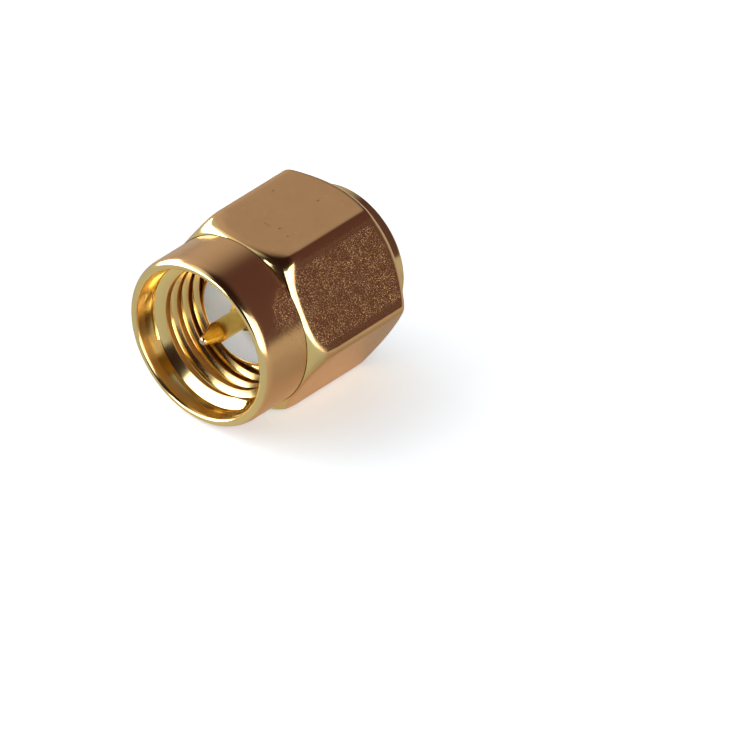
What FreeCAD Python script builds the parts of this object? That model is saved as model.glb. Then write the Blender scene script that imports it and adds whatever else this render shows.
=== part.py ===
import FreeCAD, Part
import math
import os

# A coaxial adapter: a threaded SMA plug on one end and a miniature push-on jack on the other.
# Millimetres. The common axis is Y, with the plug's mouth towards -Y and the jack towards +Y.
# The origin is on that axis, at the plug's reference plane: the front of its white insulator.
# +Z is up, square to two of the nut's flats, so that the adapter lies on the lower one.

# Coupling nut, outside
nut_overhang = 2.85
collar_length = 2.6
collar_wall = 0.435
collar_step = 0.065
hex_corner_radius = 0.43
mouth_rim_radius = 0.2
front_chamfer_lead = 0.11
front_chamfer_slope = 1.27
rear_chamfer_lead = -0.10
rear_chamfer_slope = 0.77

# Coupling nut, inside: a 1/4-36 thread between the mouth and the guide land
thread_major_diameter = 6.35
thread_height = 0.305
mouth_clearance = 0.325
mouth_depth = 1.0
mouth_taper = 0.14
lead_in_angle = 30
thread_past_ferrule = 0.1
relief_length = 0.6
relief_clearance = 0.075
guide_length = 2.0
counterbore_depth = 1.25
counterbore_chamfer = 0.10

# Main body
ferrule_diameter = 4.6
ferrule_wall = 0.15
ferrule_length = 1.9
journal_diameter = 5.0
journal_clearance = 0.08
hub_diameter = 6.3
hub_side_clearance = 0.2
hub_end_clearance = 0.15
hub_reveal = 0.35
socket_floor = 0.25
spigot_diameter = 4.8
edge_break = 0.06

# Retaining ring
ring_thickness = 0.5
ring_width = 0.42
ring_grip = 0.14
ring_setback = 0.8
ring_end_gap = 1.2
ring_side_play = 0.05
ring_end_play = 0.05
ring_squeeze_room = 0.06

# Jack cap
flange_diameter = 6.4
flange_thickness = 0.7
flange_bevel = 0.12
barrel_diameter = 2.0
barrel_length = 1.22
barrel_bore_diameter = 1.6
lip_length = 0.12
lip_height = 0.03
lip_taper = 0.015
snap_groove_start = 0.08
snap_groove_end = 0.48
snap_groove_depth = 0.09
snap_groove_radius = 0.4
barrel_base_radius = 0.07
spigot_chamfer = 0.12

# Insulators
insulator_head_length = 2.6
insulator_tail_diameter = 3.3
bead_head_diameter = 2.6
bead_head_length = 1.0
bead_recess = 0.1

# Centre contact
pin_diameter = 0.94
pin_recess = 0.3
pin_cone_length = 1.0
pin_tip_diameter = 0.32
pin_tip_radius = 0.1
contact_core_diameter = 1.27
jack_pin_diameter = 0.5
jack_pin_recess = 0.22
jack_pin_tip_radius = 0.2

# Stations along the axis, from the mouth to the jack
mouth_y = -nut_overhang
hex_front_y = mouth_y + collar_length
thread_end_y = ferrule_length + thread_past_ferrule
guide_front_y = thread_end_y + relief_length
guide_rear_y = guide_front_y + guide_length
nut_rear_y = guide_rear_y + counterbore_depth
hub_front_y = guide_rear_y + hub_end_clearance
hub_rear_y = nut_rear_y + hub_reveal
socket_floor_y = hub_front_y + socket_floor
ring_front_y = guide_front_y + ring_setback
ring_rear_y = ring_front_y + ring_thickness
flange_rear_y = hub_rear_y + flange_thickness
barrel_end_y = flange_rear_y + barrel_length
bead_step_y = socket_floor_y + bead_head_length
bead_face_y = flange_rear_y - bead_recess
pin_tip_y = mouth_y + pin_recess
jack_pin_tip_y = barrel_end_y - jack_pin_recess

# Radii that more than one piece shares. The hexagon comes out at 8.0 mm across its flats.
thread_major_radius = thread_major_diameter / 2
thread_minor_radius = thread_major_radius - thread_height
mouth_radius = thread_major_radius + mouth_clearance
collar_radius = mouth_radius + collar_wall
flat_distance = collar_radius + collar_step
journal_radius = journal_diameter / 2
guide_radius = journal_radius + journal_clearance
hub_radius = hub_diameter / 2
ring_inner_radius = journal_radius - ring_grip
ring_outer_radius = ring_inner_radius + ring_width
insulator_head_radius = ferrule_diameter / 2 - ferrule_wall
insulator_tail_radius = insulator_tail_diameter / 2
spigot_radius = spigot_diameter / 2
bead_head_radius = bead_head_diameter / 2
barrel_radius = barrel_diameter / 2
barrel_bore_radius = barrel_bore_diameter / 2
pin_radius = pin_diameter / 2
contact_core_radius = contact_core_diameter / 2
jack_pin_radius = jack_pin_diameter / 2


def on_section(y, radius):
    # A point of a turned piece's half section, at a station and a radius
    return FreeCAD.Vector(radius, y, 0)


def on_cross_section(x, z):
    # A point of the nut's outline, seen along the axis
    return FreeCAD.Vector(x, 0, z)


def outline(corners, to_space):
    # Closed face through corners (a, b, rounding), with a tangent arc at each rounded corner
    points = [to_space(a, b) for a, b, _ in corners]
    count = len(points)
    arrivals = []
    departures = []
    arcs = []
    for i, here in enumerate(points):
        rounding = corners[i][2]
        if rounding <= 0:
            arrivals.append(here)
            departures.append(here)
            arcs.append(None)
            continue
        back = (points[i - 1] - here).normalize()
        ahead = (points[(i + 1) % count] - here).normalize()
        half_angle = back.getAngle(ahead) / 2
        setback = rounding / math.tan(half_angle)
        inward = (back + ahead).normalize()
        middle = here + inward * (rounding / math.sin(half_angle) - rounding)
        arrivals.append(here + back * setback)
        departures.append(here + ahead * setback)
        arcs.append(Part.Arc(arrivals[-1], middle, departures[-1]).toShape())
    edges = []
    for i in range(count):
        if arcs[i] is not None:
            edges.append(arcs[i])
        following = arrivals[(i + 1) % count]
        if departures[i].distanceToPoint(following) > 1e-7:
            edges.append(Part.LineSegment(departures[i], following).toShape())
    return Part.Face(Part.Wire(edges))


def turned(corners):
    # A turned piece: its half section spun once round the axis
    section = outline(corners, on_section)
    return section.revolve(FreeCAD.Vector(0, 0, 0), FreeCAD.Vector(0, 1, 0), 360)


def hexagon_bar():
    # The bar that the nut is turned from, with its six rounded corners
    corner_distance = flat_distance / math.cos(math.radians(30))
    corners = []
    for i in range(6):
        angle = math.radians(60 * i)
        corners.append((corner_distance * math.cos(angle), corner_distance * math.sin(angle), hex_corner_radius))
    bar = outline(corners, on_cross_section).extrude(FreeCAD.Vector(0, nut_rear_y - hex_front_y, 0))
    bar.translate(FreeCAD.Vector(0, hex_front_y, 0))
    return bar


def chamfer_envelope():
    # The two cones that take the corners off the ends of the hexagon
    reach = nut_rear_y - hex_front_y
    front_start = flat_distance + front_chamfer_lead
    rear_start = flat_distance + rear_chamfer_lead
    front_cone = Part.makeCone(front_start, front_start + reach / front_chamfer_slope, reach,
                               FreeCAD.Vector(0, hex_front_y, 0), FreeCAD.Vector(0, 1, 0))
    rear_cone = Part.makeCone(rear_start, rear_start + reach / rear_chamfer_slope, reach,
                              FreeCAD.Vector(0, nut_rear_y, 0), FreeCAD.Vector(0, -1, 0))
    return front_cone, rear_cone


def coupling_nut():
    # Hexagon with a round collar at the mouth, bored out in steps behind the thread
    front_cone, rear_cone = chamfer_envelope()
    hexagon = hexagon_bar().common(front_cone).common(rear_cone)
    collar = turned([
        (mouth_y, 0, 0),
        (mouth_y, collar_radius, mouth_rim_radius),
        (hex_front_y, collar_radius, 0),
        (nut_rear_y - counterbore_depth, collar_radius - collar_step, 0),
        (nut_rear_y - counterbore_depth, 0, 0),
    ])
    mouth_floor_radius = mouth_radius - mouth_taper
    lead_in = (mouth_floor_radius - thread_minor_radius) * math.tan(math.radians(lead_in_angle))
    relief_radius = thread_major_radius + relief_clearance
    counterbore_radius = hub_radius + hub_side_clearance
    ring_groove_radius = ring_outer_radius + ring_side_play
    bore = turned([
        (mouth_y - edge_break, 0, 0),
        (mouth_y - edge_break, mouth_radius + mouth_rim_radius, 0),
        (mouth_y, mouth_radius + mouth_rim_radius, 0),
        (mouth_y, mouth_radius, mouth_rim_radius),
        (mouth_y + mouth_depth, mouth_floor_radius, 0),
        (mouth_y + mouth_depth + lead_in, thread_minor_radius, 0),
        (thread_end_y, thread_minor_radius, 0),
        (thread_end_y, relief_radius, 0),
        (guide_front_y, relief_radius, 0),
        (guide_front_y, guide_radius, 0),
        (ring_front_y - ring_end_play, guide_radius, 0),
        (ring_front_y - ring_end_play, ring_groove_radius, 0),
        (ring_rear_y + ring_end_play, ring_groove_radius, 0),
        (ring_rear_y + ring_end_play, guide_radius, 0),
        (guide_rear_y, guide_radius, 0),
        (guide_rear_y, counterbore_radius, 0),
        (nut_rear_y - counterbore_chamfer, counterbore_radius, 0),
        (nut_rear_y + counterbore_chamfer, counterbore_radius + 2 * counterbore_chamfer, 0),
        (nut_rear_y + counterbore_chamfer, 0, 0),
    ])
    return hexagon.fuse(collar).cut(bore).removeSplitter()


def main_body():
    # Ferrule, journal with the ring's groove, and hub, bored for the insulator and the cap
    groove_bottom = guide_radius - ring_width - ring_squeeze_room
    groove_rear_y = ring_rear_y + 2 * ring_end_play
    return turned([
        (0, insulator_head_radius, 0),
        (0, ferrule_diameter / 2 - edge_break, 0),
        (edge_break, ferrule_diameter / 2, 0),
        (ferrule_length, ferrule_diameter / 2, 0),
        (ferrule_length, journal_radius - edge_break, 0),
        (ferrule_length + edge_break, journal_radius, 0),
        (ring_front_y, journal_radius, 0),
        (ring_front_y, groove_bottom, 0),
        (groove_rear_y, groove_bottom, 0),
        (groove_rear_y, journal_radius, 0),
        (hub_front_y, journal_radius, 0),
        (hub_front_y, hub_radius - edge_break, 0),
        (hub_front_y + edge_break, hub_radius, 0),
        (hub_rear_y - edge_break, hub_radius, 0),
        (hub_rear_y, hub_radius - edge_break, 0),
        (hub_rear_y, spigot_radius, 0),
        (socket_floor_y, spigot_radius, 0),
        (socket_floor_y, insulator_tail_radius, 0),
        (insulator_head_length, insulator_tail_radius, 0),
        (insulator_head_length, insulator_head_radius, 0),
    ])


def retaining_ring():
    # Flat spring ring, split at the top, against the front wall of the body's groove
    ring = turned([
        (ring_front_y, ring_inner_radius, 0),
        (ring_front_y, ring_outer_radius, 0),
        (ring_rear_y, ring_outer_radius, 0),
        (ring_rear_y, ring_inner_radius, 0),
    ])
    split = Part.makeBox(ring_end_gap, ring_thickness, ring_outer_radius,
                         FreeCAD.Vector(-ring_end_gap / 2, ring_front_y, 0))
    return ring.cut(split)


def front_insulator():
    # Stepped insulator, flush with the ferrule's front and held by the cap behind it
    return turned([
        (0, contact_core_radius, 0),
        (0, insulator_head_radius, 0),
        (insulator_head_length, insulator_head_radius, 0),
        (insulator_head_length, insulator_tail_radius, 0),
        (socket_floor_y, insulator_tail_radius, 0),
        (socket_floor_y, contact_core_radius, 0),
    ])


def centre_contact():
    # One turned contact: plug pin with its cone, thicker core flush with the insulator, jack's small pin
    return turned([
        (pin_tip_y, 0, 0),
        (pin_tip_y, pin_tip_diameter / 2, pin_tip_radius),
        (pin_tip_y + pin_cone_length, pin_radius, 0),
        (0, pin_radius, 0),
        (0, contact_core_radius, 0),
        (socket_floor_y, contact_core_radius, 0),
        (socket_floor_y, jack_pin_radius, 0),
        (jack_pin_tip_y, jack_pin_radius, jack_pin_tip_radius),
        (jack_pin_tip_y, 0, 0),
    ])


def jack_cap():
    # Flange pressed into the body by its spigot, with the push-on barrel turned on it
    groove_start_y = flange_rear_y + snap_groove_start
    groove_end_y = flange_rear_y + snap_groove_end
    groove_middle_y = (groove_start_y + groove_end_y) / 2
    lip_start_y = barrel_end_y - lip_length
    return turned([
        (socket_floor_y, bead_head_radius, 0),
        (socket_floor_y, spigot_radius - spigot_chamfer, 0),
        (socket_floor_y + spigot_chamfer, spigot_radius, 0),
        (hub_rear_y, spigot_radius, 0),
        (hub_rear_y, flange_diameter / 2 - edge_break, 0),
        (hub_rear_y + edge_break, flange_diameter / 2, 0),
        (flange_rear_y - flange_bevel, flange_diameter / 2, 0),
        (flange_rear_y, flange_diameter / 2 - flange_bevel, 0),
        (flange_rear_y, barrel_radius + barrel_base_radius, 0),
        (groove_start_y, barrel_radius - snap_groove_depth / 2, 0),
        (groove_middle_y, barrel_radius - snap_groove_depth, snap_groove_radius),
        (groove_end_y, barrel_radius, 0),
        (lip_start_y - lip_height, barrel_radius, 0),
        (lip_start_y, barrel_radius + lip_height, 0),
        (barrel_end_y, barrel_radius + lip_height - lip_taper, edge_break),
        (barrel_end_y, barrel_bore_radius + edge_break, 0),
        (barrel_end_y - edge_break, barrel_bore_radius, 0),
        (bead_step_y, barrel_bore_radius, 0),
        (bead_step_y, bead_head_radius, 0),
    ])


def jack_insulator():
    # Bead between the cap and the contact, held by its head against the cap's step
    return turned([
        (socket_floor_y, jack_pin_radius, 0),
        (socket_floor_y, bead_head_radius, 0),
        (bead_step_y, bead_head_radius, 0),
        (bead_step_y, barrel_bore_radius, 0),
        (bead_face_y, barrel_bore_radius, 0),
        (bead_face_y, jack_pin_radius, 0),
    ])


pieces = {
    "coupling_nut": coupling_nut(),
    "main_body": main_body(),
    "retaining_ring": retaining_ring(),
    "front_insulator": front_insulator(),
    "centre_contact": centre_contact(),
    "jack_cap": jack_cap(),
    "jack_insulator": jack_insulator(),
}

os.makedirs("parts", exist_ok=True)
for name, shape in pieces.items():
    solid = shape.Solids[0] if len(shape.Solids) == 1 else shape
    solid.exportStep("parts/" + name + ".step")
    box = solid.BoundBox
    print("%-16s valid=%s solids=%d volume=%.2f x %.2f..%.2f y %.2f..%.2f z %.2f..%.2f" % (
        name, solid.isValid(), len(solid.Solids), solid.Volume,
        box.XMin, box.XMax, box.YMin, box.YMax, box.ZMin, box.ZMax))
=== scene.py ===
import math

import bmesh
import bpy
from mathutils import Matrix, Vector


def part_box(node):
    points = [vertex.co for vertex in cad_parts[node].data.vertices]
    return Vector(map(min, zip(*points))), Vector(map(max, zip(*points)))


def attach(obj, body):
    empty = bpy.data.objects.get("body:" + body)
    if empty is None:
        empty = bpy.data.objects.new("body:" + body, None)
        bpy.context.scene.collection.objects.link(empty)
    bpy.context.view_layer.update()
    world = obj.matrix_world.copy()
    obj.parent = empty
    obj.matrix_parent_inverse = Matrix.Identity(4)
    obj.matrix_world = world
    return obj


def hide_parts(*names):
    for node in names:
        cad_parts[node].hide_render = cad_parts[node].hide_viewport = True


# A coaxial adapter: a threaded plug on one end and a miniature push-on jack on the other.
# Sizes are in millimetres until a mesh is finished. The common axis is Y, with the plug's mouth
# towards -Y, and the origin is at the plug's reference plane, the front of its white insulator.
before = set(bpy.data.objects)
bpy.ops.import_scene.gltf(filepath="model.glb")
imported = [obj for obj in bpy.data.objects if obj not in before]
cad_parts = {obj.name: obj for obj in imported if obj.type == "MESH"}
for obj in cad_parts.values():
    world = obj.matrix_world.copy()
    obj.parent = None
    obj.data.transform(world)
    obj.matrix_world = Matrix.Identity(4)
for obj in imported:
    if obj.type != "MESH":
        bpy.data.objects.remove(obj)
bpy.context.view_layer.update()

# Main body
# Gold-plated brass, turned from bar in one piece. The thin ferrule in front carries the white insulator,
# the journal behind it carries the nut and its ring, and the hub at the rear takes the jack cap.
MM = 0.001
TURNING_STEPS = 192
ARC_STEPS = 4
GUARD_WIDTH = 0.02
MERGE_DISTANCE = 0.0001
CREASE_ANGLE = math.radians(35)

ferrule_radius = 2.3
ferrule_length = 1.9
insulator_head_radius = 2.15
insulator_head_length = 2.6
insulator_tail_radius = 1.65
journal_radius = 2.5
ring_groove_radius = 2.1
ring_groove_front = 3.4
ring_groove_rear = 4.0
hub_radius = 3.15
hub_front = 4.75
hub_rear = 6.2
socket_floor = 5.0
spigot_radius = 2.4


def half_section(shape, corners, closed=True):
    # Draws a half section, where each corner is (station, radius, width of its edge break)
    points = [shape.verts.new((radius, station, 0)) for station, radius, _ in corners]
    runs = [shape.edges.new(ends) for ends in zip(points, points[1:])]
    if closed:
        runs.append(shape.edges.new((points[-1], points[0])))
    for point, (_, _, edge_break) in zip(points, corners):
        if edge_break > 0:
            bmesh.ops.bevel(shape, geom=[point], offset=edge_break, affect="VERTICES",
                            segments=ARC_STEPS, profile=0.5, material=-1)


def guard_corners(shape):
    # Adds a point close to each end of every long run, which keeps the shading of its face flat
    for run in shape.edges[:]:
        length = run.calc_length()
        if length > 4 * GUARD_WIDTH:
            start, end = run.verts
            bmesh.utils.edge_split(run, start, GUARD_WIDTH / length)
            bmesh.utils.edge_split(run, end, GUARD_WIDTH / (length - GUARD_WIDTH))


def spin_once(shape, steps=TURNING_STEPS):
    # Turns the drawn section once round the axis
    bmesh.ops.spin(shape, geom=shape.verts[:] + shape.edges[:], cent=(0, 0, 0), axis=(0, 1, 0),
                   dvec=(0, 0, 0), angle=math.tau, steps=steps, use_merge=True)


def finished_piece(shape, name, *materials):
    # Closes the poles and seams, turns the faces outwards and brings the mesh to metres
    bmesh.ops.remove_doubles(shape, verts=shape.verts[:], dist=MERGE_DISTANCE)
    bmesh.ops.recalc_face_normals(shape, faces=shape.faces[:])
    bmesh.ops.scale(shape, vec=(MM, MM, MM), verts=shape.verts[:])
    mesh = bpy.data.meshes.new(name)
    shape.to_mesh(mesh)
    shape.free()
    mesh.shade_smooth()
    mesh.set_sharp_from_angle(angle=CREASE_ANGLE)
    for material in materials:
        mesh.materials.append(material)
    piece = bpy.data.objects.new(name, mesh)
    bpy.context.scene.collection.objects.link(piece)
    return piece


def turned_piece(name, corners, material, closed=True):
    # A piece that is turned all over: its half section spun round the axis
    shape = bmesh.new()
    half_section(shape, corners, closed)
    guard_corners(shape)
    spin_once(shape)
    return finished_piece(shape, name, material)


def colour(code):
    # An sRGB hex colour as the linear one that a shader socket takes
    parts = [int(code[i:i + 2], 16) / 255 for i in (0, 2, 4)]
    return [p / 12.92 if p <= 0.04045 else ((p + 0.055) / 1.055) ** 2.4 for p in parts] + [1.0]


def new_material(name):
    # An empty node material, as the material and its node tree
    material = bpy.data.materials.new(name)
    material.use_nodes = True
    material.node_tree.nodes.clear()
    return material, material.node_tree


def add_node(tree, kind, inputs=None, **settings):
    # Adds one shader node. An input is a number or colour, or the output that is linked to it. A
    # MapRange takes the range that it reads as inputs 1 and 2 and the one that it gives as 3 and 4. A
    # Mix takes its share as input 0, and then two numbers as 2 and 3 or two colours as 6 and 7.
    node = tree.nodes.new("ShaderNode" + kind)
    for name, value in settings.items():
        setattr(node, name, value)
    for socket, value in (inputs or {}).items():
        if isinstance(value, bpy.types.NodeSocket):
            tree.links.new(value, node.inputs[socket])
        else:
            node.inputs[socket].default_value = value
    return node


def object_place(tree):
    # The point on the piece that is being shaded, in metres
    return add_node(tree, "TexCoord").outputs["Object"]


def turned_place(tree):
    # The same point as radius and station only, so that a pattern on it runs round the axis
    place = object_place(tree)
    station = add_node(tree, "SeparateXYZ", {0: place}).outputs["Y"]
    across = add_node(tree, "VectorMath", {0: place, 1: (1, 0, 1)}, operation="MULTIPLY").outputs[0]
    radius = add_node(tree, "VectorMath", {0: across}, operation="LENGTH").outputs["Value"]
    return add_node(tree, "CombineXYZ", {"X": radius, "Y": station}).outputs[0]


def turned_gold(name, tone, deep_tone, roughness, mark_spacing, mark_depth, pale_end=None):
    # Gold flash over turned brass: bright, with faint tool marks round the axis and small stains, and
    # with a paler tone towards the tip, in front of the given end. Real tool marks are too fine to show, so
    # these are drawn wider apart.
    stain_size = 0.8
    pale_fade = 0.12
    material, tree = new_material(name)
    marks = add_node(tree, "TexNoise", {"Vector": turned_place(tree), "Scale": 1 / (mark_spacing * MM),
                                        "Detail": 2.0, "Roughness": 0.6}).outputs[0]
    stains = add_node(tree, "TexNoise", {"Vector": object_place(tree), "Scale": 1 / (stain_size * MM),
                                         "Detail": 4.0, "Roughness": 0.6}).outputs[0]
    stained = add_node(tree, "MapRange", {0: stains, 1: 0.35, 2: 0.75, 3: 0.0, 4: 1.0}).outputs[0]
    plating = add_node(tree, "Mix", {0: stained, 6: colour(tone), 7: colour(deep_tone)},
                       data_type="RGBA").outputs[2]
    if pale_end is not None:
        station = add_node(tree, "SeparateXYZ", {0: object_place(tree)}).outputs["Y"]
        pale_share = add_node(tree, "MapRange", {0: station, 1: (pale_end - pale_fade) * MM,
                                           2: pale_end * MM, 3: 1.0, 4: 0.0}).outputs[0]
        plating = add_node(tree, "Mix", {0: pale_share, 6: plating, 7: colour("DDBFB0")},
                           data_type="RGBA").outputs[2]
    dulled = add_node(tree, "MapRange", {0: marks, 1: 0.3, 2: 0.7, 3: roughness * 0.8,
                                         4: roughness * 1.3}).outputs[0]
    relief = add_node(tree, "Bump", {"Height": marks, "Distance": mark_depth * MM, "Strength": 1.0})
    surface = add_node(tree, "BsdfPrincipled", {"Base Color": plating, "Metallic": 1.0,
                                                "Roughness": dulled, "Normal": relief.outputs[0]})
    add_node(tree, "OutputMaterial", {"Surface": surface.outputs[0]})
    return material


body_gold = turned_gold("bright_gold_on_turned_brass", "FFE29D", "F2C97C", 0.12, 0.03, 0.0006)

main_body = turned_piece("main_body_turned", [
    (0, insulator_head_radius, 0.02),
    (0, ferrule_radius, 0.06),
    (ferrule_length, ferrule_radius, 0),
    (ferrule_length, journal_radius, 0.05),
    (ring_groove_front, journal_radius, 0.02),
    (ring_groove_front, ring_groove_radius, 0),
    (ring_groove_rear, ring_groove_radius, 0),
    (ring_groove_rear, journal_radius, 0.02),
    (hub_front, journal_radius, 0),
    (hub_front, hub_radius, 0.06),
    (hub_rear, hub_radius, 0.06),
    (hub_rear, spigot_radius, 0.02),
    (socket_floor, spigot_radius, 0),
    (socket_floor, insulator_tail_radius, 0),
    (insulator_head_length, insulator_tail_radius, 0),
    (insulator_head_length, insulator_head_radius, 0),
], body_gold)
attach(main_body, "connector_body")
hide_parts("main_body")

# Front insulator
# White PTFE, machined from rod. Its head fills the ferrule, flush with its front, and its tail reaches
# back to the jack cap, which holds it in.
contact_core_radius = 0.635


def machined_ptfe():
    # White PTFE: a waxy, slightly grey white with the faint rings that the facing tool leaves
    ring_spacing = 0.06
    ring_depth = 0.003
    cloud_size = 0.9
    scatter_depth = 0.4
    material, tree = new_material("machined_white_ptfe")
    rings = add_node(tree, "TexNoise", {"Vector": turned_place(tree), "Scale": 1 / (ring_spacing * MM),
                                        "Detail": 2.0}).outputs[0]
    cloud = add_node(tree, "TexNoise", {"Vector": object_place(tree), "Scale": 1 / (cloud_size * MM),
                                        "Detail": 3.0}).outputs[0]
    white = add_node(tree, "Mix", {0: cloud, 6: colour("E8F0F8"), 7: colour("DCE5EE")},
                     data_type="RGBA").outputs[2]
    relief = add_node(tree, "Bump", {"Height": rings, "Distance": ring_depth * MM, "Strength": 1.0})
    surface = add_node(tree, "BsdfPrincipled", {"Base Color": white, "Roughness": 0.45, "IOR": 1.35,
                                                "Subsurface Weight": 0.3,
                                                "Subsurface Scale": scatter_depth * MM,
                                                "Normal": relief.outputs[0]})
    add_node(tree, "OutputMaterial", {"Surface": surface.outputs[0]})
    return material


white_ptfe = machined_ptfe()
front_insulator = turned_piece("front_insulator_turned", [
    (0, contact_core_radius, 0.02),
    (0, insulator_head_radius, 0.03),
    (insulator_head_length, insulator_head_radius, 0),
    (insulator_head_length, insulator_tail_radius, 0),
    (socket_floor, insulator_tail_radius, 0),
    (socket_floor, contact_core_radius, 0),
], white_ptfe)
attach(front_insulator, "connector_body")
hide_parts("front_insulator")

# Centre contact
# One turned contact, gold plated and polished: the plug's pin with its cone in front, a thicker core
# in the insulator, and the jack's thin pin behind.
pin_tip = -2.55
pin_radius = 0.47
pin_cone_length = 1.0
pin_nose_radius = 0.16
jack_pin_radius = 0.25
jack_pin_tip = 7.9

contact_gold = turned_gold("polished_gold_contact", "F2D070", "DDAE4E", 0.16, 0.04, 0.0005,
                           pale_end=pin_tip + 0.15)
centre_contact = turned_piece("centre_contact_turned", [
    (pin_tip, 0, 0),
    (pin_tip, pin_nose_radius, 0.11),
    (pin_tip + pin_cone_length, pin_radius, 0.05),
    (0, pin_radius, 0),
    (0, contact_core_radius, 0.02),
    (socket_floor, contact_core_radius, 0),
    (socket_floor, jack_pin_radius, 0),
    (jack_pin_tip, jack_pin_radius, 0.18),
    (jack_pin_tip, 0, 0),
], contact_gold, closed=False)
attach(centre_contact, "connector_body")
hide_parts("centre_contact")

# Jack insulator
# A small PTFE bead, machined from rod, between the jack's pin and its cap. It stands behind the cap's
# step, deep in the bore.
bead_head_radius = 1.3
bead_head_rear = 6.0
bead_face = 6.8
barrel_bore_radius = 0.8

jack_insulator = turned_piece("jack_insulator_turned", [
    (socket_floor, jack_pin_radius, 0),
    (socket_floor, bead_head_radius, 0),
    (bead_head_rear, bead_head_radius, 0),
    (bead_head_rear, barrel_bore_radius, 0),
    (bead_face, barrel_bore_radius, 0.02),
    (bead_face, jack_pin_radius, 0.02),
], white_ptfe)
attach(jack_insulator, "connector_body")
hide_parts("jack_insulator")

# Jack cap
# Gold-plated brass, turned: a bevelled flange with the push-on barrel on it, pressed into the hub by
# its spigot. The barrel has a tapered lip for the mating plug and a shallow snap groove at its foot.
flange_radius = 3.2
flange_rear = 6.9
flange_bevel = 0.12
barrel_radius = 1.0
barrel_end = 8.12
barrel_foot_radius = 1.07
groove_front = 6.98
groove_middle = 7.18
groove_rear = 7.38
groove_depth = 0.09
lip_start = 8.0
lip_height = 0.03
lip_taper = 0.015
spigot_chamfer = 0.12

cap_gold = turned_gold("bright_gold_on_jack_cap", "FFE4A4", "F3CE86", 0.14, 0.035, 0.0008)
jack_cap = turned_piece("jack_cap_turned", [
    (socket_floor, bead_head_radius, 0),
    (socket_floor, spigot_radius - spigot_chamfer, 0),
    (socket_floor + spigot_chamfer, spigot_radius, 0),
    (hub_rear, spigot_radius, 0),
    (hub_rear, flange_radius, 0.06),
    (flange_rear - flange_bevel, flange_radius, 0.04),
    (flange_rear, flange_radius - flange_bevel, 0.04),
    (flange_rear, barrel_foot_radius, 0.03),
    (groove_front, barrel_radius - groove_depth / 2, 0.03),
    (groove_middle, barrel_radius - groove_depth, 0.13),
    (groove_rear, barrel_radius, 0.02),
    (lip_start - lip_height, barrel_radius, 0.01),
    (lip_start, barrel_radius + lip_height, 0.02),
    (barrel_end, barrel_radius + lip_height - lip_taper, 0.06),
    (barrel_end, barrel_bore_radius, 0.05),
    (bead_head_rear, barrel_bore_radius, 0),
    (bead_head_rear, bead_head_radius, 0),
], cap_gold)
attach(jack_cap, "connector_body")
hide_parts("jack_cap")


# Retaining ring
# A flat split ring of phosphor bronze, in the grooves of the journal and of the nut. It lets the nut
# spin and keeps it on. The ring itself is the frame's own, with its finish given here.
def spring_bronze():
    # Plain phosphor bronze: a reddish metal with fine drawn grain and a little darkening
    grain_width = 0.05
    grain_depth = 0.001
    tarnish_size = 0.5
    material, tree = new_material("plain_phosphor_bronze")
    grain = add_node(tree, "TexNoise", {"Vector": turned_place(tree), "Scale": 1 / (grain_width * MM),
                                        "Detail": 3.0}).outputs[0]
    dark_share = add_node(tree, "TexNoise", {"Vector": object_place(tree), "Scale": 1 / (tarnish_size * MM),
                                          "Detail": 4.0}).outputs[0]
    tone = add_node(tree, "Mix", {0: dark_share, 6: colour("E0B184"), 7: colour("B07A50")},
                    data_type="RGBA").outputs[2]
    relief = add_node(tree, "Bump", {"Height": grain, "Distance": grain_depth * MM, "Strength": 1.0})
    surface = add_node(tree, "BsdfPrincipled", {"Base Color": tone, "Metallic": 1.0, "Roughness": 0.3,
                                                "Normal": relief.outputs[0]})
    add_node(tree, "OutputMaterial", {"Surface": surface.outputs[0]})
    return material


retaining_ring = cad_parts["retaining_ring"]
retaining_ring.data.materials.clear()
retaining_ring.data.materials.append(spring_bronze())

# Coupling nut
# Gold-plated brass, turned from 8 mm hexagon bar: a round collar at the mouth, a hexagon chamfered at
# both ends, and a bore with a 1/4-36 thread in front and a land for the journal behind. The outside is
# satin with polished edges, the inside is bright as turned.
NUT_STEPS = 384
CHAMFER_ROWS = 14
FLAT_ROWS = 8

# What lies closer than this counts as being in the same place
SAME_PLACE = 0.001

# The bar and the collar, whose front is rounded by the shoulder
flat_distance = 4.0
hex_corner_radius = 0.43
mouth = -2.85
mouth_radius = 3.5
mouth_taper = 0.14
rim_rounding = 0.15
shoulder_drop = 0.29
shoulder_length = 0.5
shoulder_steps = 10
bore_start = -2.35
collar_radius = 3.935
collar_rear = -0.25
nut_rear = 5.85

# The chamfer cones. A slope is how far the cone runs along the axis for each millimetre of radius.
front_cone_radius = 4.11
front_cone_slope = 1.27
front_foot_radius = 3.95
front_foot_slope = 0.53
foot_softness = 0.16
rear_cone_radius = 3.9
rear_cone_slope = 0.77
cone_zone = 0.72
front_edge_softness = 0.42
rear_edge_softness = 0.3

# The thread: its sizes, where its crest stands round the axis, where the first crest starts, wears
# and fades, and how far the rows of its mesh lie from a crest, as shares of a turn
thread_minor_radius = 2.9
thread_major_radius = 3.175
thread_pitch = 0.7056
thread_steepness = 1.28
lead_in_steepness = 1.73
thread_softness = 0.03
root_flat = thread_pitch / 24
run_out_steepness = math.sqrt(3)
thread_turn = math.radians(180)
thread_start_turn = math.radians(-30)
first_crest = -2
crest_wear = 0.095
crest_wear_start = math.radians(270)
crest_wear_full = math.radians(298)
crest_fade_start = math.radians(318)
thread_row_phases = (0.0, 0.142, 0.159, 0.175, 0.191, 0.208, 0.44, 0.458, 0.475, 0.49)
thread_end = 2.0

# The bore behind the thread
relief_radius = 3.25
relief_end = 2.6
guide_radius = 2.58
guide_end = 4.6
nut_ring_groove_radius = 2.83
nut_ring_groove_front = 3.35
nut_ring_groove_rear = 3.95
counterbore_radius = 3.35
counterbore_chamfer = 0.1

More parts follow.
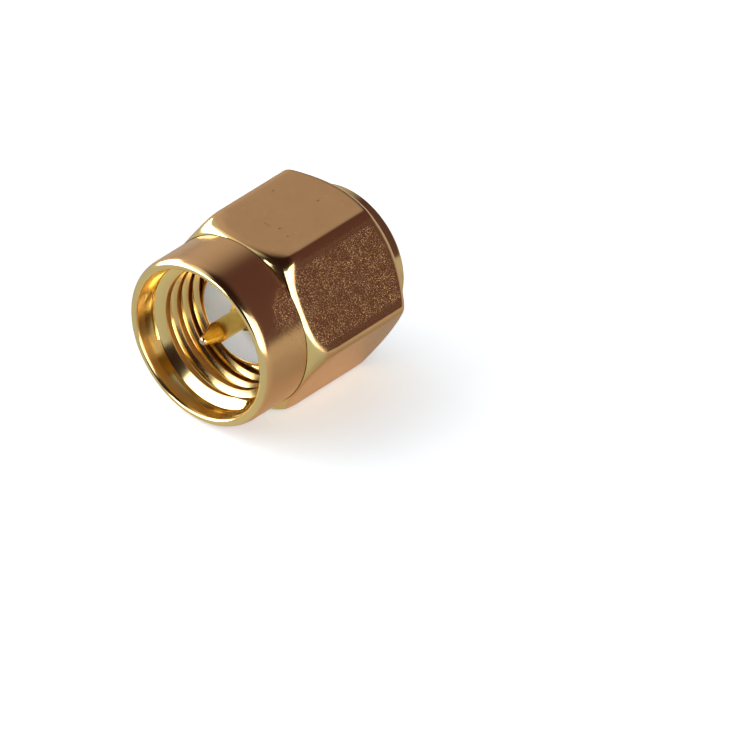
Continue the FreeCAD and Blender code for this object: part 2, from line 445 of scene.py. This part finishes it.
# The finish: polished along the edges of the hexagon, most of all in front, and on the rim. The
# collar is satin behind the rim, and rougher near the hexagon on the side round rough_angle. A
# speck is its station, its distance across, its height and its size.
polish_start = 0.02
polish_width = 0.38
edge_polish = 0.9
# The front edges and the rim are polished so fully that they also take the paler tone, a painted highlight
front_edge_polish = 0.99
front_polish_length = 0.45
front_polish_end = 0.8
front_border_share = 0.85
rim_polish = 0.99
collar_polish = 0.6
rim_polish_length = 0.1
rim_polish_end = 0.4
rough_angle = math.radians(28)
rough_half_width = math.radians(14)
rough_fade_end = math.radians(34)
rough_start = -1.9
rough_full = -0.5
rough_depth = 1.2
# Painted shade in the bore: how dark the mouth's wall is painted, and the radii over which the thread's
# crests are painted darker
mouth_painted_shade = 0.5
crest_painted_shade_start = 0.01
crest_painted_shade_end = 0.05
nut_specks = ((1.69, 0.47, 4.0, 0.075), (4.35, 0.27, 4.0, 0.075), (1.49, 1.10, 4.0, 0.06),
              (1.54, -0.20, 4.0, 0.06), (3.55, -1.57, 4.0, 0.06), (1.52, -0.01, 4.0, 0.05),
              (1.50, -1.17, 4.0, 0.05), (2.35, -0.62, 4.0, 0.05))


def soft_min(a, b, softness):
    # The lower of two values, with the crossing rounded off over the softness
    overlap = max(softness - abs(a - b), 0.0) / softness
    return min(a, b) - overlap * overlap * softness / 4


def flat_angle_of(angle):
    # The angle from the middle of the nearest flat
    return (angle - math.pi / 2 + math.pi / 6) % (math.pi / 3) - math.pi / 6


def hexagon_radius(angle):
    # The radius of the bar at an angle, with rounded corners
    corner_centre = (flat_distance - hex_corner_radius) / math.cos(math.pi / 6)
    turn = abs(flat_angle_of(angle))
    if flat_distance * math.tan(turn) < corner_centre / 2:
        return flat_distance / math.cos(turn)
    to_corner = math.pi / 6 - turn
    across = corner_centre * math.sin(to_corner)
    return corner_centre * math.cos(to_corner) + math.sqrt(hex_corner_radius ** 2 - across ** 2)


def cone_radii(station):
    # The radii of the front and rear chamfer cones at a station
    reach = station - collar_rear
    front = soft_min(front_cone_radius + reach / front_cone_slope,
                     front_foot_radius + reach / front_foot_slope, foot_softness)
    rear = rear_cone_radius + (nut_rear - station) / rear_cone_slope
    return front, rear


def hexagon_form(angle, station):
    # The radius of the finished hexagon: the bar, cut by the two cones, with soft edges
    front, rear = cone_radii(station)
    form = soft_min(hexagon_radius(angle), front, front_edge_softness)
    return soft_min(form, rear, rear_edge_softness)


def edge_distance(angle, station):
    # How far a point of a flat lies from the flat's own border, measured along the flat
    turn = abs(flat_angle_of(angle))
    half_flat = (flat_distance - hex_corner_radius) * math.tan(math.pi / 6)
    to_corner = half_flat - flat_distance * math.tan(turn)
    bar = hexagon_radius(angle)
    front, rear = cone_radii(station)
    to_front = (front - bar) * front_cone_slope * front_border_share
    to_rear = (rear - bar) * rear_cone_slope
    return min(to_corner, to_front, to_rear)


def smooth_step(value, low, high):
    # 0 below low, 1 above high, and a soft change between them
    share = min(max((value - low) / (high - low), 0.0), 1.0)
    return share * share * (3 - 2 * share)


def hexagon_polish(angle, station):
    # The satin of a flat is 0, and the polish of its border is near 1
    near_front = 1 - smooth_step(station, collar_rear + front_polish_length,
                                 collar_rear + front_polish_end)
    within = smooth_step(edge_distance(angle, station), polish_start, polish_width)
    return (edge_polish + (front_edge_polish - edge_polish) * near_front) * (1 - within)


def collar_finish(angle, station):
    # Bright on the rim, satin behind it, and below 0 where the blasting is rough
    behind_rim = smooth_step(station - mouth, rim_polish_length, rim_polish_end)
    on_side = 1 - smooth_step(abs(angle - rough_angle), rough_half_width, rough_fade_end)
    rough = on_side * smooth_step(station, rough_start, rough_full)
    return rim_polish - (rim_polish - collar_polish) * behind_rim - rough_depth * rough


def thread_radius(turns, first, wall, narrowing):
    # The threaded bore, where each whole turn is the middle of a crest. In front of the first crest
    # a steeper lead-in runs on, out to the wall of the mouth. Behind, that crest is narrowed.
    thread_depth = thread_major_radius - thread_minor_radius
    crest_half = (thread_pitch - root_flat) / 2 - thread_depth / thread_steepness
    crest = max(round(turns), first)
    from_crest = abs(turns - crest) * thread_pitch
    if first == crest < turns:
        from_crest += narrowing
    steepness = thread_steepness if turns > first else lead_in_steepness
    depth = -soft_min((crest_half - from_crest) * steepness, 0.0, thread_softness)
    deepest = thread_depth if turns > first else wall - thread_minor_radius
    return thread_minor_radius + soft_min(depth, deepest, thread_softness)


def bore_radius(angle, station):
    # The bore from the mouth's wall to the last thread. The first crest fades out where it starts.
    wall = mouth_radius - (station - mouth) * mouth_taper
    turned = (angle - thread_start_turn) % math.tau
    turns = station / thread_pitch + (turned + thread_start_turn - thread_turn) / math.tau
    narrowing = crest_wear * smooth_step(turned, crest_wear_start, crest_wear_full)
    fade = smooth_step(turned, crest_fade_start, math.tau)
    return ((1 - fade) * thread_radius(turns, first_crest, wall, narrowing)
            + fade * thread_radius(turns, first_crest + 1, wall, 0))


shoulder_turns = [math.pi / 2 * (1 - step / shoulder_steps) for step in range(shoulder_steps + 1)]
shape = bmesh.new()
half_section(shape, [
    (bore_start, mouth_radius - (bore_start - mouth) * mouth_taper, 0),
    (mouth, mouth_radius, rim_rounding),
    *[(mouth + shoulder_length * (1 - math.sin(turn)),
       collar_radius - shoulder_drop * (1 - math.cos(turn)), 0) for turn in shoulder_turns],
    (collar_rear, collar_radius, 0),
    (collar_rear, front_cone_radius, 0),
    (collar_rear + cone_zone, front_cone_radius, 0),
    (nut_rear - cone_zone, front_cone_radius, 0),
    (nut_rear, front_cone_radius, 0),
    (nut_rear, counterbore_radius + counterbore_chamfer, 0.02),
    (nut_rear - counterbore_chamfer, counterbore_radius, 0.02),
    (guide_end, counterbore_radius, 0),
    (guide_end, guide_radius, 0.04),
    (nut_ring_groove_rear, guide_radius, 0.02),
    (nut_ring_groove_rear, nut_ring_groove_radius, 0),
    (nut_ring_groove_front, nut_ring_groove_radius, 0),
    (nut_ring_groove_front, guide_radius, 0.02),
    (relief_end, guide_radius, 0.04),
    (relief_end, relief_radius, 0),
    (thread_end, relief_radius, 0),
], closed=False)
# Rows across the hexagon: close together where the chamfers cut it, wide on the plain flats
for run in shape.edges[:]:
    start, end = (point.co for point in run.verts)
    if min(start.x, end.x) > front_cone_radius - SAME_PLACE:
        front_end, rear_end = min(start.y, end.y), max(start.y, end.y)
        chamfered = front_end < collar_rear + SAME_PLACE or rear_end > nut_rear - SAME_PLACE
        rows = CHAMFER_ROWS if chamfered else FLAT_ROWS
        bmesh.ops.subdivide_edges(shape, edges=[run], cuts=rows)
guard_corners(shape)
spin_once(shape, NUT_STEPS)
bmesh.ops.remove_doubles(shape, verts=shape.verts[:], dist=MERGE_DISTANCE)

# The outside of the hexagon is brought from round to its own form, and each point gets its finish
polish = shape.verts.layers.float.new("polish")
dark_share = shape.verts.layers.float.new("dark_share")
for point in shape.verts:
    radius = math.hypot(point.co.x, point.co.z)
    angle = math.atan2(point.co.z, point.co.x)
    station = point.co.y
    point[polish] = 1.0
    if radius > flat_distance:
        form = hexagon_form(angle, station)
        point.co.x *= form / front_cone_radius
        point.co.z *= form / front_cone_radius
        point[polish] = hexagon_polish(angle, station)
    elif radius > collar_radius - shoulder_drop and station < collar_rear + SAME_PLACE:
        point[polish] = collar_finish(angle, station)
    elif radius < mouth_radius + SAME_PLACE and station < bore_start + SAME_PLACE:
        # The mouth's wall gets painted shade
        point[dark_share] = mouth_painted_shade

# The threaded stretch of the bore: rows that climb one pitch a turn, with a turn to spare at each
# end, which are pressed onto the thread. What lies past its ends folds onto them.
thread = bmesh.new()
row_phases = sorted({phase for p in thread_row_phases for phase in (p, -p % 1.0)})
lowest_turn = math.floor(bore_start / thread_pitch) - 2
highest_turn = math.ceil(thread_end / thread_pitch) + 1
row_stations = [(turn + phase + thread_turn / math.tau) * thread_pitch
                for turn in range(lowest_turn, highest_turn) for phase in row_phases]
row_points = [thread.verts.new((mouth_radius, station, 0)) for station in row_stations]
for ends in zip(row_points, row_points[1:]):
    thread.edges.new(ends)
bmesh.ops.spin(thread, geom=thread.verts[:] + thread.edges[:], cent=(0, 0, 0), axis=(0, 1, 0),
               dvec=(0, thread_pitch / NUT_STEPS, 0), angle=math.tau, steps=NUT_STEPS)
polish = thread.verts.layers.float.new("polish")
dark_share = thread.verts.layers.float.new("dark_share")
for point in thread.verts:
    angle = math.atan2(point.co.z, point.co.x)
    station = min(max(point.co.y, bore_start), thread_end)
    run_out = relief_radius - (thread_end - station) * run_out_steepness
    radius = max(bore_radius(angle, station), run_out)
    around = Vector((point.co.x, 0, point.co.z)).normalized()
    point.co = around * radius + Vector((0, station, 0))
    point[polish] = 1.0
    # The thread's crests get painted shade
    point[dark_share] = 1 - smooth_step(radius, thread_minor_radius + crest_painted_shade_start,
                                     thread_minor_radius + crest_painted_shade_end)
threaded = bpy.data.meshes.new("threaded_bore")
thread.to_mesh(threaded)
thread.free()
shape.from_mesh(threaded)
bpy.data.meshes.remove(threaded)


def nut_gold_finish():
    # Gold on brass. Satin from fine blasting outside, with a grain that sparkles and a few small specks,
    # and bright where the polish attribute says so: along the edges, on the rim and in the bore. Where the
    # polish is fullest, on the hexagon's front edges and the rim, its paler tone is a painted highlight.
    # The attribute of painted shade darkens the gold on the thread's crests and the mouth's wall. The
    # blasted grain is drawn coarser than the real one, so that it shows.
    grain_size = 0.036
    grain_depth = 0.028
    patch_size = 0.5
    mark_spacing = 0.05
    mark_depth = 0.0005
    stain_size = 1.2
    speck_strength = 0.5
    speck_core_share = 0.4
    material, tree = new_material("satin_gold_on_nut")
    bright = add_node(tree, "Attribute", attribute_name="polish").outputs["Fac"]
    grain = add_node(tree, "TexNoise", {"Vector": object_place(tree), "Scale": 1 / (grain_size * MM),
                                        "Detail": 0.0}).outputs[0]
    peaks = add_node(tree, "MapRange", {0: grain, 1: 0.66, 2: 0.88, 3: 0.0, 4: 1.0}).outputs[0]
    patches = add_node(tree, "TexNoise", {"Vector": object_place(tree), "Scale": 1 / (patch_size * MM),
                                          "Detail": 2.0}).outputs[0]
    crowded = add_node(tree, "MapRange", {0: patches, 1: 0.3, 2: 0.7, 3: 0.3, 4: 1.2}).outputs[0]
    sparkle = add_node(tree, "Math", {0: peaks, 1: crowded}, operation="MULTIPLY").outputs[0]
    blasted = add_node(tree, "Math", {0: grain, 1: 0.1, 2: sparkle}, operation="MULTIPLY_ADD").outputs[0]
    marks = add_node(tree, "TexNoise", {"Vector": turned_place(tree), "Scale": 1 / (mark_spacing * MM),
                                        "Detail": 2.0}).outputs[0]
    marked = add_node(tree, "MapRange", {0: bright, 1: 0.3, 2: 1.0, 3: 0.0, 4: 1.0}).outputs[0]
    height = add_node(tree, "Mix", {0: marked, 2: blasted, 3: marks}).outputs[0]
    depth = add_node(tree, "MapRange", {0: bright, 1: -0.7, 2: 0.3, 3: grain_depth * MM,
                                        4: mark_depth * MM}).outputs[0]
    relief = add_node(tree, "Bump", {"Height": height, "Distance": depth, "Strength": 1.0})
    shine = add_node(tree, "MapRange", {0: bright, 1: 0.8, 2: 1.0, 3: 0.0, 4: 1.0}).outputs[0]
    roughness = add_node(tree, "MapRange", {0: shine, 1: 0.0, 2: 1.0, 3: 0.22, 4: 0.12}).outputs[0]
    # Where the polish is nearly full the paler tone is used: the bore's own tone inside, and a painted
    # highlight on the hexagon's front edges and the rim
    polish_and_painted_highlight = add_node(tree, "MapRange", {0: bright, 1: 0.92, 2: 0.99, 3: 0.0, 4: 1.0}).outputs[0]
    stains = add_node(tree, "TexNoise", {"Vector": object_place(tree), "Scale": 1 / (stain_size * MM),
                                         "Detail": 4.0, "Roughness": 0.6}).outputs[0]
    satin_tone = add_node(tree, "Mix", {0: stains, 6: colour("FFD096"), 7: colour("F7C588")},
                          data_type="RGBA").outputs[2]
    # Painted shade on the crests and the mouth's wall: a darker gold, and a little rougher
    painted_shade = add_node(tree, "Attribute", attribute_name="dark_share").outputs["Fac"]
    bore_tone = add_node(tree, "Mix", {0: painted_shade, 6: colour("FBE6A4"), 7: colour("C08440")},
                         data_type="RGBA").outputs[2]
    roughness = add_node(tree, "Math", {0: painted_shade, 1: 0.2, 2: roughness},
                         operation="MULTIPLY_ADD").outputs[0]
    plating = add_node(tree, "Mix", {0: polish_and_painted_highlight, 6: satin_tone, 7: bore_tone},
                       data_type="RGBA").outputs[2]
    for station, across, height_up, size in nut_specks:
        from_speck = add_node(tree, "VectorMath", {0: object_place(tree),
                                                   1: (across * MM, station * MM, height_up * MM)},
                              operation="DISTANCE").outputs["Value"]
        speck = add_node(tree, "MapRange", {0: from_speck, 1: speck_core_share * size * MM,
                                            2: size * MM, 3: speck_strength, 4: 0.0}).outputs[0]
        plating = add_node(tree, "Mix", {0: speck, 6: plating, 7: colour("6E4420")},
                           data_type="RGBA").outputs[2]
    surface = add_node(tree, "BsdfPrincipled", {"Base Color": plating, "Metallic": 1.0,
                                                "Roughness": roughness, "Normal": relief.outputs[0]})
    add_node(tree, "OutputMaterial", {"Surface": surface.outputs[0]})
    return material


coupling_nut = finished_piece(shape, "coupling_nut_machined", nut_gold_finish())
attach(coupling_nut, "nut")
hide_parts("coupling_nut")

# Studio
# A plain pale floor under the adapter, with a large soft light on the left and a smaller one on the
# right, in dim warm surroundings. The floor and the lights are given in metres, and how far the
# shadow reaches from the adapter in millimetres.
FLOOR_RADIUS = 0.6
LIGHT_DISTANCE = 0.5
SHADOW_REACH = 7
FLOOR_LIFT = 0.68
SHADOW_LIFT = 0.27
WHITE = (1.0, 1.0, 1.0, 1.0)


def toward(azimuth, elevation):
    # The direction to a point of the studio, with azimuth 0 along +Y and 90 along +X
    a, e = math.radians(azimuth), math.radians(elevation)
    return Vector((math.sin(a) * math.cos(e), math.cos(a) * math.cos(e), math.sin(e)))


def studio_floor_material():
    # Matt white paper. The camera sees a lift of it as well, up to white. The lift is dimmed where the
    # adapter hides the left side from the paper, which gives the soft grey shadow beside the adapter.
    # The metal shows the paper as the greyer one that lies outside the lit area.
    fibre_size = 4
    material, tree = new_material("matt_white_paper")
    fibres = add_node(tree, "TexNoise", {"Vector": object_place(tree), "Scale": 1 / (fibre_size * MM),
                                         "Detail": 3.0}).outputs[0]
    white = add_node(tree, "Mix", {0: fibres, 6: colour("EAF6FF"), 7: colour("E8F4FD")},
                     data_type="RGBA").outputs[2]
    camera_ray = add_node(tree, "LightPath").outputs["Is Camera Ray"]
    tone = add_node(tree, "Mix", {0: camera_ray, 6: colour("DEDDD5"), 7: white}, data_type="RGBA").outputs[2]
    paper = add_node(tree, "BsdfDiffuse", {"Color": tone})
    lit_side = toward(azimuth=-100, elevation=50)
    facing = add_node(tree, "CombineXYZ", {"X": lit_side.x, "Y": lit_side.y, "Z": lit_side.z}).outputs[0]
    open_share = add_node(tree, "AmbientOcclusion", {"Distance": SHADOW_REACH * MM, "Normal": facing},
                          samples=16).outputs["AO"]
    seen_lift = add_node(tree, "MapRange", {0: open_share, 1: 0.2, 2: 0.95, 3: SHADOW_LIFT,
                                            4: FLOOR_LIFT}).outputs[0]
    glow = add_node(tree, "Math", {0: camera_ray, 1: seen_lift}, operation="MULTIPLY").outputs[0]
    lift = add_node(tree, "Emission", {"Color": (0.98, 1.0, 1.01, 1), "Strength": glow})
    surface = add_node(tree, "AddShader", {0: paper.outputs[0], 1: lift.outputs[0]})
    add_node(tree, "OutputMaterial", {"Surface": surface.outputs[0]})
    return material


ground = bmesh.new()
bmesh.ops.create_circle(ground, cap_ends=True, segments=96, radius=FLOOR_RADIUS,
                        matrix=Matrix.Translation((0, 0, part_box("coupling_nut")[0].z)))
floor_mesh = bpy.data.meshes.new("paper_floor")
ground.to_mesh(floor_mesh)
ground.free()
floor_mesh.materials.append(studio_floor_material())
floor = bpy.data.objects.new("paper_floor", floor_mesh)
bpy.context.scene.collection.objects.link(floor)


def soft_light(name, azimuth, elevation, width, height, radiance):
    # A rectangular soft light that faces the adapter
    lamp = bpy.data.lights.new(name, "AREA")
    lamp.shape = "RECTANGLE"
    lamp.size, lamp.size_y = width, height
    lamp.energy = radiance * math.pi * width * height
    light = bpy.data.objects.new(name, lamp)
    direction = toward(azimuth, elevation)
    light.location = direction * LIGHT_DISTANCE
    light.rotation_euler = direction.to_track_quat("Z", "Y").to_euler()
    bpy.context.scene.collection.objects.link(light)


soft_light("left_soft_light", azimuth=-122, elevation=15, width=1.0, height=0.34, radiance=3.4)
soft_light("right_soft_light", azimuth=112, elevation=20, width=0.6, height=0.4, radiance=3.2)


# The paler parts of the room: azimuth and elevation, the angles from there at which each starts to
# fade and has faded out, and its colour
DIM_ROOM = (0.022, 0.007, 0.007, 1)
ROOM_GLOWS = ((25, 30, 25, 60, (0.095, 0.05, 0.055, 1)),
              (-75, 25, 15, 53, (0.49, 0.45, 0.44, 1)),
              (-122, 36, 8, 30, (0.85, 0.80, 0.72, 1)))


def studio_surroundings():
    # The dim warm room round the set, seen in the metal. The camera itself sees white.
    world = bpy.data.worlds.new("studio_surroundings")
    bpy.context.scene.world = world
    world.use_nodes = True
    tree = world.node_tree
    tree.nodes.clear()
    direction = add_node(tree, "TexCoord").outputs["Generated"]
    room = DIM_ROOM
    for azimuth, elevation, inner, outer, tone in ROOM_GLOWS:
        facing = add_node(tree, "VectorMath", {0: direction, 1: toward(azimuth, elevation)},
                          operation="DOT_PRODUCT").outputs["Value"]
        share = add_node(tree, "MapRange", {0: facing, 1: math.cos(math.radians(outer)),
                                            2: math.cos(math.radians(inner)), 3: 0.0, 4: 1.0},
                         interpolation_type="SMOOTHSTEP").outputs[0]
        room = add_node(tree, "Mix", {0: share, 6: room, 7: tone}, data_type="RGBA").outputs[2]
    rays = add_node(tree, "LightPath")
    seen = add_node(tree, "Mix", {0: rays.outputs["Is Camera Ray"], 6: room, 7: WHITE},
                    data_type="RGBA").outputs[2]
    background = add_node(tree, "Background", {"Color": seen, "Strength": 1.0})
    add_node(tree, "OutputWorld", {"Surface": background.outputs[0]})


studio_surroundings()
bpy.context.scene.view_settings.view_transform = "Standard"

# Camera
# The photograph's view: from the right of the mouth and above, a long way off, with a slight roll.
VIEW_AZIMUTH = math.radians(39.92)
VIEW_ELEVATION = math.radians(35.68)
VIEW_ROLL = math.radians(-2.71)
VIEW_DISTANCE = 769.2
PIXELS_A_MM = 23.55
FRAME_PIXELS = 750
SENSOR_WIDTH = 36.0
aim_station = 2.15
aim_pixel = (275.29, 296.36)

level_right = Vector((math.cos(VIEW_AZIMUTH), math.sin(VIEW_AZIMUTH), 0))
backward = Vector((math.sin(VIEW_AZIMUTH) * math.cos(VIEW_ELEVATION),
                   -math.cos(VIEW_AZIMUTH) * math.cos(VIEW_ELEVATION), math.sin(VIEW_ELEVATION)))
level_up = backward.cross(level_right)
right = level_right * math.cos(VIEW_ROLL) - level_up * math.sin(VIEW_ROLL)
up = level_right * math.sin(VIEW_ROLL) + level_up * math.cos(VIEW_ROLL)
aside = (FRAME_PIXELS / 2 - aim_pixel[0]) / PIXELS_A_MM
below = (FRAME_PIXELS / 2 - aim_pixel[1]) / PIXELS_A_MM
eye = Vector((0, aim_station, 0)) + backward * VIEW_DISTANCE + right * aside - up * below

view = bpy.data.cameras.new("photograph_view")
view.sensor_width = SENSOR_WIDTH
view.lens = PIXELS_A_MM * VIEW_DISTANCE * SENSOR_WIDTH / FRAME_PIXELS
view.clip_start = 0.01
camera = bpy.data.objects.new("photograph_view", view)
camera.matrix_world = Matrix.Translation(eye * MM) @ Matrix((right, up, backward)).transposed().to_4x4()
bpy.context.scene.collection.objects.link(camera)
bpy.context.scene.camera = camera
